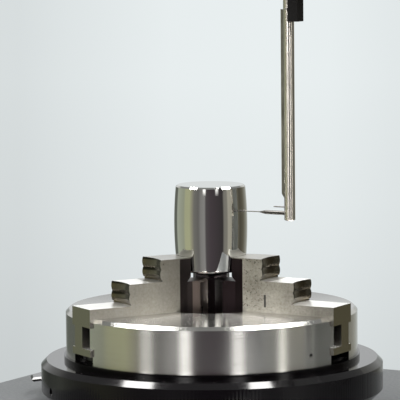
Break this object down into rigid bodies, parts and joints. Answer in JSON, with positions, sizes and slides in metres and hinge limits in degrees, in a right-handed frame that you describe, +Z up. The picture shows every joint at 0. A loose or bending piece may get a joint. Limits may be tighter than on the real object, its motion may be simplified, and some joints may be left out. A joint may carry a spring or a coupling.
{
  "type": "roundness measuring instrument",
  "caption": "Bench-top roundness measuring instrument with a scroll chuck on a turning table, a crowned roller in its jaws and a stylus detector.",
  "frame": {"origin": "middle of the base's footprint on the bench", "axes": "+X from the turning table to the column, +Y to the rear, +Z up"},
  "size_m": [0.4, 0.252, 0.497],
  "materials": {
    "base_enamel": "semi-matte grey enamel",
    "black_steel": "black oxide, semi-gloss",
    "chuck_steel": "fine turned steel",
    "ground_steel": "ground and hardened",
    "mirror_chrome": "polished",
    "tube_steel": "satin",
    "machined_steel": "machined",
    "black_iron": "black finish",
    "alloy": "satin anodised",
    "black_plastic": "fine texture",
    "green_plastic": "smooth",
    "red_plastic": "smooth",
    "rubber": "matte"
  },
  "bodies": {
    "base": {"base_housing": "base_enamel", "base_plate": "machined_steel", "plate_screws": "machined_steel", "front_left_foot": "rubber", "front_right_foot": "rubber", "rear_left_foot": "rubber", "rear_right_foot": "rubber", "bearing_sleeve": "machined_steel", "sleeve_screws": "machined_steel", "encoder_reader": "black_plastic", "drive_belt": "rubber", "motor_bracket": "alloy", "motor_posts": "machined_steel", "motor": "black_iron", "lock_boss": "machined_steel", "column": "base_enamel", "column_bolts": "machined_steel", "column_cap": "black_plastic", "guide_rail": "ground_steel", "lift_rack": "machined_steel", "power_inlet": "black_plastic", "signal_socket": "machined_steel", "circuit_board": "green_plastic"},
    "table": {"turntable": "black_steel", "table_bolts": "machined_steel", "centring_screws": "black_steel", "spindle": "ground_steel", "thrust_plate": "machined_steel", "spindle_pulley": "alloy", "encoder_disc": "alloy", "scroll_flange": "black_steel", "retaining_plate": "machined_steel", "retaining_screws": "machined_steel"},
    "motor_rotor": {"motor_pulley": "alloy"},
    "chuck": {"chuck_body": "chuck_steel", "chuck_lock_screw": "black_steel", "roller": "mirror_chrome"},
    "jaw_1": {"jaw_1": "ground_steel"},
    "jaw_2": {"jaw_2": "ground_steel"},
    "jaw_3": {"jaw_3": "ground_steel"},
    "carriage": {"carriage": "base_enamel"},
    "lift_shaft": {"lift_pinion": "machined_steel", "lift_knob": "black_plastic"},
    "carriage_clamp": {"carriage_clamp": "black_plastic"},
    "arm_clamp": {"arm_clamp": "black_plastic"},
    "arm": {"arm": "ground_steel", "arm_head": "black_iron"},
    "swivel_knob": {"swivel_knob": "black_plastic"},
    "detector": {"swivel_bracket": "black_iron", "detector_housing": "alloy", "tube_holder": "black_plastic", "stylus_tube": "tube_steel", "tube_blade": "tube_steel", "stylus_pivot": "machined_steel"},
    "stylus": {"stylus": "machined_steel"},
    "direction_lever": {"direction_lever": "black_steel"},
    "lock_lever": {"lock_lever": "black_steel"},
    "start_button": {"start_button": "green_plastic"},
    "stop_button": {"stop_button": "red_plastic"},
    "power_switch": {"power_switch": "black_plastic"}
  },
  "joints": [
    {"name": "table_spin", "type": "hinge", "parent": "base", "child": "table", "pos_m": [-0.0795, 0, 0.11], "axis": [0, 0, 1], "continuous": true},
    {"name": "motor_spin", "type": "hinge", "parent": "base", "child": "motor_rotor", "pos_m": [0.0255, 0, 0.032], "axis": [0, 0, 1], "continuous": true},
    {"name": "chuck_turn", "type": "hinge", "parent": "table", "child": "chuck", "pos_m": [-0.0795, 0, 0.134], "axis": [0, 0, 1], "range_deg": [0, 300]},
    {"name": "jaw_1_slide", "type": "slide", "parent": "chuck", "child": "jaw_1", "axis": [1, 0, 0], "range_m": [0, 0.0052]},
    {"name": "jaw_2_slide", "type": "slide", "parent": "chuck", "child": "jaw_2", "axis": [-0.5, 0.866, 0], "range_m": [0, 0.0052]},
    {"name": "jaw_3_slide", "type": "slide", "parent": "chuck", "child": "jaw_3", "axis": [-0.5, -0.866, 0], "range_m": [0, 0.0052]},
    {"name": "carriage_lift", "type": "slide", "parent": "base", "child": "carriage", "axis": [0, 0, 1], "range_m": [-0.01414, 0.08482]},
    {"name": "lift_knob_turn", "type": "hinge", "parent": "carriage", "child": "lift_shaft", "pos_m": [0.152, 0.0222, 0.326], "axis": [-1, 0, 0], "range_deg": [-90, 540]},
    {"name": "carriage_clamp_turn", "type": "hinge", "parent": "carriage", "child": "carriage_clamp", "pos_m": [0.09, 0.0295, 0.332], "axis": [-1, 0, 0], "range_deg": [0, 90]},
    {"name": "arm_clamp_turn", "type": "hinge", "parent": "carriage", "child": "arm_clamp", "pos_m": [0.122, -0.017, 0.354], "axis": [0, -1, 0], "range_deg": [0, 90]},
    {"name": "arm_slide", "type": "slide", "parent": "carriage", "child": "arm", "axis": [1, 0, 0], "range_m": [0, 0.04]},
    {"name": "swivel_knob_turn", "type": "hinge", "parent": "arm", "child": "swivel_knob", "pos_m": [-0.0374, -0.016, 0.354], "axis": [0, -1, 0], "range_deg": [0, 90]},
    {"name": "detector_tilt", "type": "hinge", "parent": "arm", "child": "detector", "pos_m": [-0.0374, -0.012, 0.354], "axis": [0, -1, 0], "range_deg": [0, 45]},
    {"name": "stylus_swing", "type": "hinge", "parent": "detector", "child": "stylus", "pos_m": [-0.0404, 0, 0.274], "axis": [0, -1, 0], "range_deg": [0, 0.4], "stiffness_Nm_per_rad": 0.02},
    {"name": "direction_switch", "type": "hinge", "parent": "detector", "child": "direction_lever", "pos_m": [-0.0404, 0, 0.2805], "axis": [0, 1, 0], "range_deg": [0, 20]},
    {"name": "lock_turn", "type": "hinge", "parent": "base", "child": "lock_lever", "pos_m": [-0.1675, 0.025, 0.107], "axis": [0, 0, -1], "range_deg": [0, 30]},
    {"name": "start_press", "type": "slide", "parent": "base", "child": "start_button", "axis": [0, 1, 0], "range_m": [0, 0.0015], "stiffness_N_per_m": 400},
    {"name": "stop_press", "type": "slide", "parent": "base", "child": "stop_button", "axis": [0, 1, 0], "range_m": [0, 0.0015], "stiffness_N_per_m": 400},
    {"name": "power_rock", "type": "hinge", "parent": "base", "child": "power_switch", "pos_m": [0.128, 0.1215, 0.052], "axis": [-1, 0, 0], "range_deg": [0, 16]}
  ],
  "couplings": [
    {"joint": "motor_spin", "follows": "table_spin", "ratio": 3.7551},
    {"joint": "jaw_1_slide", "follows": "chuck_turn", "m_per_rad": 0.00095493},
    {"joint": "jaw_2_slide", "follows": "chuck_turn", "m_per_rad": 0.00095493},
    {"joint": "jaw_3_slide", "follows": "chuck_turn", "m_per_rad": 0.00095493},
    {"joint": "lift_knob_turn", "follows": "carriage_lift", "rad_per_m": 111.11}
  ]
}
